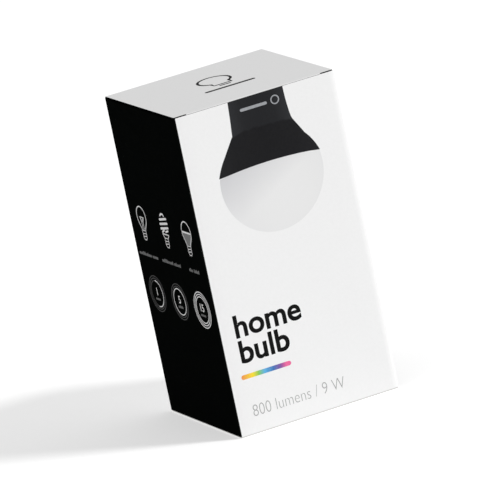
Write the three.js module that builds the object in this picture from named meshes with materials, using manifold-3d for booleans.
// A smart light bulb in its retail carton.
//
// The carton is a straight tuck-end box of printed paperboard: four walls, a glued bottom, a lid that
// folds at the back, a tongue that tucks behind the front wall, and two dust flaps under the lid.
// Inside, two card inserts hold an A19 bulb upside down, with its dome at the bottom and its E26
// screw base at the top.
//
// Millimetres, +Z up. The origin is the centre of the carton's footprint, the front faces -Y, and
// +X is on the right of someone who looks at the front.

import * as THREE from 'three';
import { mergeVertices } from 'three/addons/utils/BufferGeometryUtils.js';
import Module from 'manifold-3d';

const wasm = await Module();
wasm.setup();

// ---------------------------------------------------------------- driving dimensions

// Carton, outside sizes
const WIDTH = 64;
const DEPTH = 62;
const HEIGHT = 120;
const BOARD = 0.5;

// Folds: the gap that a folded panel keeps to its neighbour, and where a panel starts past its crease
const FOLD_GAP = 0.25;
const CREASE = 0.1;
const FRONT_EDGE_DROP = 0.25;
const SIDE_TOP_DROP = 1.5;

// Lid and tongue
const LID_SIDE_GAP = 0.25;
const LID_FRONT_INSET = 1;
const TONGUE_FOLD_INSET = 0.8;
const TONGUE_LENGTH = 13;
const TONGUE_START = 0.8;
const TONGUE_SLANT = THREE.MathUtils.degToRad(8);
const TONGUE_SIDE_GAP = 1;
const TONGUE_CORNER = 7;
const SLIT_LENGTH = 5.4;
const SLIT_WIDTH = 0.9;

// Dust flaps
const FLAP_REACH = 16;
const FLAP_FRONT_INSET = 2.5;
const FLAP_BACK_INSET = 3;
const FLAP_BACK_TAPER = 14.5;
const FLAP_SHOULDER = 5;
const FLAP_CORNER = 5;

// Card inserts
const CARD = 0.8;
const CRADLE_TOP = 22;
const CRADLE_HALF_WIDTH = 31;
const CRADLE_HALF_DEPTH = 29.5;
const CRADLE_HOLE_R = 25.8;
const COLLAR_TOP = 65;
const COLLAR_FLANGE = 14;
const COLLAR_HALF_WIDTH = 30.5;
const COLLAR_HALF_DEPTH = 29.5;
const COLLAR_HOLE_R = 17.65;

// Bulb, from its dome (down) to its contact (up)
const DOME_R = 30;
const DOME_CENTRE_Z = 38;
const DOME_WALL = 1.2;
const RIM_Z = 43.4;
const RIM_R = 29.5;
const RIM_BAND = 1.6;
const LIP_R = 26.8;
const LIP_WALL = 0.8;
const LIP_HEIGHT = 1.8;
const NECK_R = 17.3;
const NECK_START_Z = 63.4;
const NECK_TOP_R = 15.9;
const NECK_TOP_Z = 85.4;
const HOUSING_WALL = 1.5;
const STUB_R = 11.6;
const STUB_WALL = 1.2;
const STUB_TOP_Z = 105.5;
const ASSEMBLY_GAP = 0.3;

// Light engine
const LED_BOARD_R = 25.6;
const LED_BOARD_Z = 43.8;
const LED_BOARD_T = 1;
const PAD_R = 23;
const PAD_T = 0.3;
const SINK_Z = 45.2;
const SINK_T = 1.2;
const SINK_GAP = 0.4;
const SINK_WALL = 1;
const SINK_TOP_Z = 58;
const WHITE_LED = { count: 10, ring: 18.5, size: [3.5, 2.8, 0.8] };
const COLOUR_LED = { count: 4, ring: 11, size: [3.6, 3.6, 0.8] };
const SCREW_RING = 20;
const SCREW_HOLE_R = 1.6;

// Driver board, upright in the neck, and the radio board, which stands through the LED board
const DRIVER_Y = [-2.8, -1.2];
const DRIVER_Z = [48, 102];
const DRIVER_HALF_WIDTH = 12.5;
const DRIVER_TAIL_HALF_WIDTH = 9;
const DRIVER_SHOULDER_Z = [83, 86];
const RADIO_Y = [3.3, 4.1];
const RADIO_HALF_WIDTH = 6;
const RADIO_Z = [37, 56];
const RADIO_SLOT_GAP = 0.6;

// E26 base
const SHELL_Z = [86.2, 109.4];
const SHELL_INNER_R = 11.95;
const SHELL_SKIRT_R = 13.1;
const SHELL_SKIRT = 2.8;
const THREAD_PITCH = 3.63;
const THREAD_TURNS = 5;
const THREAD_R = [12.45, 13.1];
const SHELL_MOUTH_R = 10;
const SHELL_WALL = 0.45;
const INSULATOR_FLANGE_R = 11.6;
const INSULATOR_Z = [106.8, 108.6, 112.2];
const INSULATOR_TIP_R = 5.2;
const INSULATOR_HOLE_R = 1.9;
const CONTACT_R = 4.6;
const CONTACT_Z = [107.6, 112.5, 113.5];
const CONTACT_STEM_R = 1.5;

// Mesh fineness
const ROUND = 32;
const SMALL_ROUND = 18;

// ---------------------------------------------------------------- materials

const material = (color, roughness, metalness = 0) =>
  new THREE.MeshStandardMaterial({ color, roughness, metalness });

const whiteBoard = material(0xf0f0f0, 0.55);
const lidBoard = material(0xdddddd, 0.55);
const blackBoard = material(0x0a0b0b, 0.45);
const insertCard = material(0xe8e4dc, 0.85);
const opalPlastic = material(0xeeeeea, 0.4);
const blackPlastic = material(0x26272a, 0.45);
const aluminium = material(0xb9bcc0, 0.4, 0.9);
const nickel = material(0xc4c2bc, 0.28, 1);
const brass = material(0xb8954f, 0.35, 1);
const steel = material(0x9fa2a6, 0.35, 1);
const whiteMask = material(0xf4f5f2, 0.5);
const greenMask = material(0x1f6b3c, 0.5);
const siliconePad = material(0x9aa3ab, 0.8);
const phosphor = material(0xe8d25a, 0.5);
const clearLens = material(0xd8dadc, 0.3);
const ferrite = material(0x3b3a3d, 0.7);
const tape = material(0xd8b23a, 0.5);
const sleeve = material(0x1d2f52, 0.4);
const filmBody = material(0xc8832f, 0.45);
const moulding = material(0x17181a, 0.5);
const resistorBody = material(0x6fa0a8, 0.5);
const connectorNylon = material(0xeeece4, 0.5);
const redInsulation = material(0xb02a25, 0.5);
const whiteInsulation = material(0xe9e9e6, 0.5);
const vitrite = material(0x141516, 0.25);

// ---------------------------------------------------------------- helpers

const v2 = (x, y) => new THREE.Vector2(x, y);

function part(name, geometry, surface) {
  const mesh = new THREE.Mesh(geometry, surface);
  mesh.name = name;
  return mesh;
}

// A box from its ranges along X, Y and Z
function block([x0, x1], [y0, y1], [z0, z1]) {
  const box = new THREE.BoxGeometry(x1 - x0, y1 - y0, z1 - z0);
  return box.translate((x0 + x1) / 2, (y0 + y1) / 2, (z0 + z1) / 2);
}

// A body of revolution about Z from [radius, height] pairs, up the outside and down the inside
function turned(profile, segments = ROUND) {
  const lathe = new THREE.LatheGeometry(profile.map(([r, z]) => v2(r, z)), segments);
  return lathe.rotateX(Math.PI / 2);
}

// The same for a profile that doesn't reach the axis, so that it ends where it starts
function turnedRing(profile, segments = ROUND) {
  return turned([...profile, profile[0]], segments);
}

function rod(radius, z0, z1, x = 0, y = 0, segments = SMALL_ROUND) {
  const cylinder = new THREE.CylinderGeometry(radius, radius, z1 - z0, segments);
  return cylinder.rotateX(Math.PI / 2).translate(x, y, (z0 + z1) / 2);
}

// An outline in the XY plane, extruded upwards from z0 to z1
function plate(points, z0, z1) {
  const shape = new THREE.Shape(points);
  const geometry = new THREE.ExtrudeGeometry(shape, { depth: z1 - z0, bevelEnabled: false });
  return geometry.translate(0, 0, z0);
}

function toSolid(geometry) {
  const bare = geometry.clone();
  bare.deleteAttribute('normal');
  bare.deleteAttribute('uv');
  const merged = mergeVertices(bare);
  const corners = merged.index.array;
  const kept = [];
  for (let i = 0; i < corners.length; i += 3) {
    const [a, b, c] = corners.slice(i, i + 3);
    if (a !== b && b !== c && c !== a) kept.push(a, b, c);
  }
  return new wasm.Manifold(new wasm.Mesh({
    numProp: 3,
    vertProperties: Float32Array.from(merged.attributes.position.array),
    triVerts: Uint32Array.from(kept),
  }));
}

// The first geometry with all the others taken away
function cut(geometry, ...tools) {
  let solid = toSolid(geometry);
  for (const tool of tools) solid = solid.subtract(toSolid(tool));
  const mesh = solid.getMesh();
  const result = new THREE.BufferGeometry();
  result.setAttribute('position', new THREE.BufferAttribute(mesh.vertProperties, 3));
  result.setIndex(new THREE.BufferAttribute(mesh.triVerts, 1));
  const flat = result.toNonIndexed();
  flat.computeVertexNormals();
  return flat;
}

// Points of a quarter circle about a centre, from one angle to another
function arc(cx, cy, radius, from, to, steps = 5) {
  const points = [];
  for (let i = 0; i <= steps; i += 1) {
    const angle = from + ((to - from) * i) / steps;
    points.push(v2(cx + radius * Math.cos(angle), cy + radius * Math.sin(angle)));
  }
  return points;
}

// ---------------------------------------------------------------- carton body

const halfW = WIDTH / 2;
const halfD = DEPTH / 2;
const innerW = halfW - BOARD;
const innerD = halfD - BOARD;

function walls() {
  const group = new THREE.Group();
  const acrossFull = [-halfW, halfW];
  const acrossInner = [-innerD, innerD];
  const sideZ = [BOARD, HEIGHT - SIDE_TOP_DROP];
  group.add(
    part('front_panel', block(acrossFull, [-halfD, -innerD], [BOARD, HEIGHT - FRONT_EDGE_DROP]),
      whiteBoard),
    part('back_panel', block(acrossFull, [innerD, halfD], [BOARD, HEIGHT - BOARD - FOLD_GAP]),
      whiteBoard),
    part('left_panel', block([-halfW, -innerW], acrossInner, sideZ), blackBoard),
    part('right_panel', block([innerW, halfW], acrossInner, sideZ), blackBoard),
  );
  return group;
}

// Strip on the left wall's back edge, with cut-back ends, glued to the inside of the back wall
function glueFlap() {
  const reach = 15;
  const endInset = 3;
  const endTaper = 6;
  const low = BOARD + endInset;
  const high = HEIGHT - endInset;
  const outline = [
    v2(-innerW, low), v2(-innerW + reach, low + endTaper),
    v2(-innerW + reach, high - endTaper), v2(-innerW, high),
  ];
  const geometry = plate(outline, 0, BOARD);
  geometry.rotateX(Math.PI / 2);
  geometry.translate(0, innerD, 0);
  return part('glue_flap', geometry, whiteBoard);
}

// Glued closure, from the outside in: outer panel, inner panel, two dust flaps
function bottom() {
  const group = new THREE.Group();
  const flapInset = 0.5;
  const flapMiddleGap = 4;
  const flapY = [-innerD + flapInset, innerD - flapInset];
  const flapZ = [2 * BOARD, 3 * BOARD];
  group.add(
    part('bottom_outer_panel', block([-halfW, halfW], [-halfD, halfD], [0, BOARD]), whiteBoard),
    part('bottom_inner_panel', block([-innerW, innerW], [-innerD, innerD], [BOARD, 2 * BOARD]),
      whiteBoard),
    part('bottom_dust_flap_left', block([-innerW, -flapMiddleGap], flapY, flapZ), blackBoard),
    part('bottom_dust_flap_right', block([flapMiddleGap, innerW], flapY, flapZ), blackBoard),
  );
  return group;
}

// A card deck with a leg folded down at each end and a round hole, as a channel along Y
function foldedDeck(halfSpan, halfLength, top, foot, holeR) {
  const outline = [
    v2(-halfSpan, foot), v2(-halfSpan + CARD, foot), v2(-halfSpan + CARD, top - CARD),
    v2(halfSpan - CARD, top - CARD), v2(halfSpan - CARD, foot), v2(halfSpan, foot),
    v2(halfSpan, top), v2(-halfSpan, top),
  ];
  const channel = plate(outline, -halfLength, halfLength).rotateX(Math.PI / 2);
  return cut(channel, rod(holeR, top - 2 * CARD, top + CARD, 0, 0, ROUND));
}

function bulbCradle() {
  const foot = 3 * BOARD;
  const geometry = foldedDeck(CRADLE_HALF_WIDTH, CRADLE_HALF_DEPTH, CRADLE_TOP, foot, CRADLE_HOLE_R);
  return part('bulb_cradle', geometry, insertCard);
}

// ---------------------------------------------------------------- carton closure

// Lid, cut short at each end of its front fold by the slits that lock it
function lidPanel() {
  const side = innerW + LID_SIDE_GAP;
  const front = -halfD + LID_FRONT_INSET;
  const back = halfD - CREASE;
  const outline = [
    v2(-side, back), v2(-side, front + SLIT_WIDTH), v2(-side + SLIT_LENGTH, front + SLIT_WIDTH),
    v2(-side + SLIT_LENGTH, front), v2(side - SLIT_LENGTH, front),
    v2(side - SLIT_LENGTH, front + SLIT_WIDTH), v2(side, front + SLIT_WIDTH), v2(side, back),
  ];
  return part('lid_panel', plate(outline, HEIGHT - BOARD, HEIGHT), lidBoard);
}

// Tongue, drawn hanging from its fold with its length along -Y, then turned down behind the front wall
function tuckTongue() {
  const side = halfW - TONGUE_SIDE_GAP;
  const neck = innerW + LID_SIDE_GAP - SLIT_LENGTH - ASSEMBLY_GAP;
  const shoulder = -TONGUE_START - SLIT_WIDTH;
  const cornerY = -TONGUE_LENGTH + TONGUE_CORNER;
  const outline = [
    v2(-neck, -TONGUE_START), v2(-neck, shoulder), v2(-side, shoulder),
    ...arc(-side + TONGUE_CORNER, cornerY, TONGUE_CORNER, Math.PI, Math.PI * 1.5),
    ...arc(side - TONGUE_CORNER, cornerY, TONGUE_CORNER, Math.PI * 1.5, Math.PI * 2),
    v2(side, shoulder), v2(neck, shoulder), v2(neck, -TONGUE_START),
  ];
  const mesh = part('tuck_tongue', plate(outline, -BOARD, 0), lidBoard);
  const fold = new THREE.Group();
  fold.position.set(0, -halfD + TONGUE_FOLD_INSET, HEIGHT);
  fold.rotation.x = Math.PI / 2 + TONGUE_SLANT;
  fold.add(mesh);
  return fold;
}

// Dust flap on one side (-1 left, +1 right), with a locking shoulder in front and a long taper behind
function dustFlap(side) {
  const front = -halfD + FLAP_FRONT_INSET;
  const back = halfD - FLAP_BACK_INSET;
  const root = halfW - CREASE;
  const tip = halfW - FLAP_REACH;
  const outline = [
    v2(root, front), v2(root - FLAP_SHOULDER, front),
    ...arc(tip + FLAP_CORNER, front + FLAP_SHOULDER + 1, FLAP_CORNER, Math.PI * 1.5, Math.PI),
    v2(tip, back - FLAP_BACK_TAPER), v2(root, back),
  ].map((p) => v2(side * p.x, p.y));
  const top = HEIGHT - BOARD - FOLD_GAP;
  const name = side < 0 ? 'dust_flap_left' : 'dust_flap_right';
  return part(name, plate(outline, top - BOARD, top), blackBoard);
}

// ---------------------------------------------------------------- bulb shells

const flareCurve = new THREE.QuadraticBezierCurve(
  v2(RIM_R, RIM_Z + RIM_BAND),
  v2(RIM_R - 3.3, 53),
  v2(NECK_R, NECK_START_Z),
);

// The housing's flare from rim to neck, moved inwards by an offset
function flare(offset, steps = 8) {
  const points = [];
  for (let i = 0; i <= steps; i += 1) {
    const point = flareCurve.getPoint(i / steps);
    const along = flareCurve.getTangent(i / steps);
    points.push([point.x - along.y * offset, point.y + along.x * offset]);
  }
  return points;
}

// Part of an offset flare between two heights, with its ends cut level
function flareBetween(offset, low, high) {
  const points = flare(offset, 12);
  const inside = points.filter(([, z]) => z > low + 0.2 && z < high - 0.2);
  const radiusAt = (height) => {
    const i = points.findIndex(([, z]) => z >= height);
    const [r0, z0] = points[i - 1];
    const [r1, z1] = points[i];
    return r0 + ((r1 - r0) * (height - z0)) / (z1 - z0);
  };
  return [[radiusAt(low), low], ...inside, [radiusAt(high), high]];
}

// Opal dome: a ball cap with a lip that snaps into the housing's rim
function diffuserDome() {
  const seam = RIM_Z - ASSEMBLY_GAP;
  const lipTop = seam + LIP_HEIGHT;
  const lipInner = LIP_R - LIP_WALL;
  const ball = (radius, from, to, steps) => {
    const points = [];
    for (let i = 0; i <= steps; i += 1) {
      const angle = from + ((to - from) * i) / steps;
      points.push([radius * Math.sin(angle), DOME_CENTRE_Z - radius * Math.cos(angle)]);
    }
    return points;
  };
  const rimAngle = Math.PI / 2 + Math.asin((seam - DOME_CENTRE_Z) / DOME_R);
  const outer = ball(DOME_R, 0, rimAngle, 12);
  const innerEnd = Math.PI / 2 + Math.asin(2 / DOME_R);
  const inner = ball(DOME_R - DOME_WALL, innerEnd, 0, 11);
  outer[0][0] = 0;
  inner[inner.length - 1][0] = 0;
  return part('diffuser_dome', turned([
    ...outer, [LIP_R, seam], [LIP_R, lipTop], [lipInner, lipTop], [lipInner, seam], ...inner,
  ]), opalPlastic);
}

// Black housing: rim, convex flare, tapering neck, and the stub that the screw shell sits on
function bulbHousing() {
  const step = 0.5;
  const stubInner = STUB_R - STUB_WALL;
  const inner = flare(HOUSING_WALL).reverse();
  return part('bulb_housing', turnedRing([
    [RIM_R - 1.1, RIM_Z], [RIM_R, RIM_Z], ...flare(0), [NECK_TOP_R, NECK_TOP_Z],
    [STUB_R, NECK_TOP_Z + step], [STUB_R, STUB_TOP_Z], [stubInner, STUB_TOP_Z],
    [stubInner, NECK_TOP_Z + step], [NECK_TOP_R - HOUSING_WALL, NECK_TOP_Z - 1], ...inner,
  ]), blackPlastic);
}

// ---------------------------------------------------------------- light engine

const screwAngles = [Math.PI / 10, Math.PI * 1.1];

function screwHoles(z0, z1) {
  return screwAngles.map((angle) =>
    rod(SCREW_HOLE_R, z0, z1, SCREW_RING * Math.cos(angle), SCREW_RING * Math.sin(angle), 12));
}

function radioSlot(z0, z1) {
  const reach = RADIO_HALF_WIDTH + RADIO_SLOT_GAP;
  return block([-reach, reach], [RADIO_Y[0] - RADIO_SLOT_GAP, RADIO_Y[1] + RADIO_SLOT_GAP], [z0, z1]);
}

function ledBoard() {
  const top = LED_BOARD_Z + LED_BOARD_T;
  const disc = rod(LED_BOARD_R, LED_BOARD_Z, top, 0, 0, ROUND);
  const below = LED_BOARD_Z - 1;
  return part('led_board', cut(disc, radioSlot(below, top + 1), ...screwHoles(below, top + 1)),
    whiteMask);
}

function thermalPad() {
  const low = LED_BOARD_Z + LED_BOARD_T + 0.05;
  const disc = rod(PAD_R, low, low + PAD_T, 0, 0, ROUND);
  return part('thermal_pad', cut(disc, radioSlot(low - 1, low + 1), ...screwHoles(low - 1, low + 1)),
    siliconePad);
}

// Aluminium cup: a plate behind the LED board with a skirt up the inside of the flare
function heatSink() {
  const plateTop = SINK_Z + SINK_T;
  const outer = flareBetween(HOUSING_WALL + SINK_GAP, SINK_Z, SINK_TOP_Z);
  const inner = flareBetween(HOUSING_WALL + SINK_GAP + SINK_WALL, plateTop, SINK_TOP_Z).reverse();
  const cup = turned([[0, SINK_Z], ...outer, ...inner, [0, plateTop]]);
  const [low, high] = [SINK_Z - 1, plateTop + 1];
  return part('heat_sink', cut(cup, radioSlot(low, high), ...screwHoles(low, high)), aluminium);
}

// LEDs in a ring on the underside of the LED board
function ledRing(prefix, { count, ring, size }, surface, phase) {
  const group = new THREE.Group();
  const [w, d, h] = size;
  const top = LED_BOARD_Z - 0.05;
  for (let i = 0; i < count; i += 1) {
    const led = part(`${prefix}_${i + 1}`, block([-w / 2, w / 2], [-d / 2, d / 2], [top - h, top]),
      surface);
    const angle = phase + (i * 2 * Math.PI) / count;
    led.position.set(ring * Math.cos(angle), ring * Math.sin(angle), 0);
    led.rotation.z = angle;
    group.add(led);
  }
  return group;
}

function boardScrews() {
  const group = new THREE.Group();
  const headR = 2.5;
  const headTop = LED_BOARD_Z - 0.05;
  const headLow = headTop - 1.4;
  const shankR = SCREW_HOLE_R - ASSEMBLY_GAP;
  screwAngles.forEach((angle, i) => {
    const screw = part(`board_screw_${i + 1}`, turned([
      [0, headLow], [headR * 0.6, headLow], [headR, headLow + 0.6], [headR, headTop],
      [shankR, headTop], [shankR, headTop + 4.6], [0, headTop + 5],
    ], 12), steel);
    screw.position.set(SCREW_RING * Math.cos(angle), SCREW_RING * Math.sin(angle), 0);
    group.add(screw);
  });
  return group;
}

// ---------------------------------------------------------------- electronics in the neck

function driverBoard() {
  const [low, high] = DRIVER_Z;
  const [shoulderLow, shoulderHigh] = DRIVER_SHOULDER_Z;
  const outline = [
    v2(-DRIVER_HALF_WIDTH, low), v2(DRIVER_HALF_WIDTH, low),
    v2(DRIVER_HALF_WIDTH, shoulderLow), v2(DRIVER_TAIL_HALF_WIDTH, shoulderHigh),
    v2(DRIVER_TAIL_HALF_WIDTH, high), v2(-DRIVER_TAIL_HALF_WIDTH, high),
    v2(-DRIVER_TAIL_HALF_WIDTH, shoulderHigh), v2(-DRIVER_HALF_WIDTH, shoulderLow),
  ];
  const geometry = plate(outline, 0, DRIVER_Y[1] - DRIVER_Y[0]);
  geometry.rotateX(Math.PI / 2);
  geometry.translate(0, DRIVER_Y[1], 0);
  return part('driver_board', geometry, greenMask);
}

const boardFront = DRIVER_Y[0] - 0.1;
const boardBack = DRIVER_Y[1] + 0.1;

// Ferrite core as a frame around a wound bobbin
function transformer() {
  const group = new THREE.Group();
  const [x0, x1] = [-9.4, -1.6];
  const [z0, z1] = [64, 75.5];
  const depth = 7.2;
  const leg = 1.7;
  const y = [boardFront - depth, boardFront];
  const window = [[x0 + leg, x1 - leg], [y[0] - 1, y[1] + 1], [z0 + leg, z1 - leg]];
  const core = cut(block([x0, x1], y, [z0, z1]), block(...window));
  const gap = ASSEMBLY_GAP;
  const winding = block([x0 + leg + gap, x1 - leg - gap], [y[0] + 0.4, y[1] - 0.4],
    [z0 + leg + gap, z1 - leg - gap]);
  group.add(part('transformer_core', core, ferrite), part('transformer_winding', winding, tape));
  return group;
}

// Electrolytic can with its crimped groove near the foot
function electrolytic(name, radius, z0, z1, x, y) {
  const groove = radius * 0.14;
  const can = turned([
    [0, z0], [radius, z0], [radius, z0 + radius * 0.3], [radius - groove, z0 + radius * 0.5],
    [radius, z0 + radius * 0.7], [radius, z1 - 0.4], [radius - 0.5, z1], [0, z1],
  ], SMALL_ROUND);
  const mesh = part(name, can, sleeve);
  mesh.position.set(x, y, 0);
  return mesh;
}

function drumInductor() {
  const [flange, waist] = [3.6, 2.6];
  const [z0, z1] = [50, 58];
  const lip = 1.2;
  const spool = turned([
    [0, z0], [flange, z0], [flange, z0 + lip], [waist, z0 + lip + 0.3],
    [waist, z1 - lip - 0.3], [flange, z1 - lip], [flange, z1], [0, z1],
  ], SMALL_ROUND);
  const mesh = part('drum_inductor', spool, ferrite);
  mesh.position.set(-6, boardFront - flange - 0.2, 0);
  return mesh;
}

// Cement-coated resistor that also serves as the mains fuse
function fuseResistor() {
  const [z0, z1] = [88.5, 97.5];
  const [bulge, waist] = [1.7, 1.35];
  const body = turned([
    [0, z0], [waist, z0 + 0.3], [bulge, z0 + 1.2], [waist, z0 + 2.4], [waist, z1 - 2.4],
    [bulge, z1 - 1.2], [waist, z1 - 0.3], [0, z1],
  ], SMALL_ROUND);
  const mesh = part('fuse_resistor', body, resistorBody);
  mesh.position.set(5.2, boardFront - bulge - 0.5, 0);
  return mesh;
}

function boardChips() {
  const group = new THREE.Group();
  const front = (depth) => [boardFront - depth, boardFront];
  const back = (depth) => [boardBack, boardBack + depth];
  group.add(
    part('film_capacitor', block([2, 9.5], front(4), [51.5, 58.5]), filmBody),
    part('bridge_rectifier', block([-3, 1.7], front(1.6), [87.5, 91.5]), moulding),
    part('controller_chip', block([-2.5, 2.5], back(1.5), [69, 73]), moulding),
    part('led_connector', block([-1.8, 1.2], front(3.4), [48.6, 53.6]), connectorNylon),
  );
  return group;
}

// Radio board with its shielded module; the bare end is the antenna and stands in the dome
function radio() {
  const group = new THREE.Group();
  const canY = [RADIO_Y[1] + 0.1, RADIO_Y[1] + 2];
  group.add(
    part('wifi_board', block([-RADIO_HALF_WIDTH, RADIO_HALF_WIDTH], RADIO_Y, RADIO_Z), greenMask),
    part('wifi_shield', block([-5.2, 5.2], canY, [47.4, 55.2]), steel),
  );
  return group;
}

function lead(name, radius, points, surface) {
  const sides = 8;
  const section = new THREE.Shape(arc(0, 0, radius, 0, 2 * Math.PI * (1 - 1 / sides), sides - 1));
  const path = new THREE.CatmullRomCurve3(points.map((p) => new THREE.Vector3(...p)));
  const tube = new THREE.ExtrudeGeometry(section, { steps: 14, extrudePath: path });
  return part(name, tube, surface);
}

function leads() {
  const group = new THREE.Group();
  const overRim = (STUB_TOP_Z + INSULATOR_Z[0]) / 2;
  group.add(
    lead('live_lead', 0.5, [[3, 0.2, 97], [2.4, 0.4, 101], [0.6, 0.3, 104.5], [0, 0, 107.2]],
      redInsulation),
    lead('neutral_lead', 0.33, [
      [-4, 0.4, 97], [-6.5, 0.4, 102], [-8.4, 0.4, 105.2], [-9.6, 0.4, overRim], [-11.2, 0.4, overRim],
    ], whiteInsulation),
  );
  return group;
}

// ---------------------------------------------------------------- screw base

// E26 shell: plain skirt, rounded thread and an inward top edge
function screwShell() {
  const [low, top] = SHELL_Z;
  const threadLow = low + SHELL_SKIRT;
  const perTurn = 4;
  const [root, crest] = THREAD_R;
  const thread = [];
  for (let i = 0; i <= THREAD_TURNS * perTurn; i += 1) {
    const swing = 0.5 - 0.5 * Math.cos((i * 2 * Math.PI) / perTurn);
    thread.push([root + (crest - root) * swing, threadLow + (i * THREAD_PITCH) / perTurn]);
  }
  return part('screw_shell', turnedRing([
    [SHELL_INNER_R, low], [SHELL_SKIRT_R, low], [SHELL_SKIRT_R, threadLow - 0.8], ...thread,
    [root, top - 1], [root - 1, top], [SHELL_MOUTH_R, top],
    [SHELL_MOUTH_R, top - SHELL_WALL], [SHELL_INNER_R, top - SHELL_WALL],
  ]), nickel);
}

// Black glass insulator, a flanged cone inside the shell's mouth
function baseInsulator() {
  const [low, flangeTop, tip] = INSULATOR_Z;
  const throat = SHELL_MOUTH_R - ASSEMBLY_GAP;
  const coneStart = SHELL_Z[1] + 0.4;
  return part('base_insulator', turnedRing([
    [INSULATOR_HOLE_R, low], [INSULATOR_FLANGE_R, low], [INSULATOR_FLANGE_R, flangeTop],
    [throat, flangeTop], [throat, coneStart], [INSULATOR_TIP_R, tip], [INSULATOR_HOLE_R, tip],
  ], 24), vitrite);
}

function centreContact() {
  const [stemLow, headLow, top] = CONTACT_Z;
  return part('centre_contact', turned([
    [0, stemLow], [CONTACT_STEM_R, stemLow], [CONTACT_STEM_R, headLow], [CONTACT_R, headLow],
    [CONTACT_R - 0.3, headLow + 0.5], [CONTACT_R * 0.5, top - 0.1], [0, top],
  ], 24), brass);
}

// Card collar that centres the neck; its flanges fold down along the front and back walls
function neckCollar() {
  const foot = COLLAR_TOP - COLLAR_FLANGE;
  const geometry = foldedDeck(COLLAR_HALF_DEPTH, COLLAR_HALF_WIDTH, COLLAR_TOP, foot, COLLAR_HOLE_R);
  geometry.rotateZ(Math.PI / 2);
  return part('neck_collar', geometry, insertCard);
}

// ---------------------------------------------------------------- assembly

function carton() {
  const group = new THREE.Group();
  group.add(walls(), glueFlap(), bottom(), bulbCradle());
  group.add(lidPanel(), tuckTongue(), dustFlap(-1), dustFlap(1));
  return group;
}

function bulb() {
  const group = new THREE.Group();
  group.add(diffuserDome(), bulbHousing(), heatSink(), thermalPad(), ledBoard());
  group.add(ledRing('white_led', WHITE_LED, phosphor, 0));
  group.add(ledRing('colour_led', COLOUR_LED, clearLens, Math.PI / 4));
  group.add(boardScrews(), driverBoard(), transformer(), boardChips(), drumInductor());
  group.add(electrolytic('bulk_capacitor', 4.5, 64.5, 81, 4.6, -7.9));
  group.add(electrolytic('filter_capacitor', 2.5, 93, 101.5, -4.6, -5.8));
  group.add(fuseResistor(), radio(), leads());
  group.add(screwShell(), baseInsulator(), centreContact(), neckCollar());
  return group;
}

const boxedBulb = new THREE.Group();
boxedBulb.add(carton(), bulb());

export default boxedBulb;
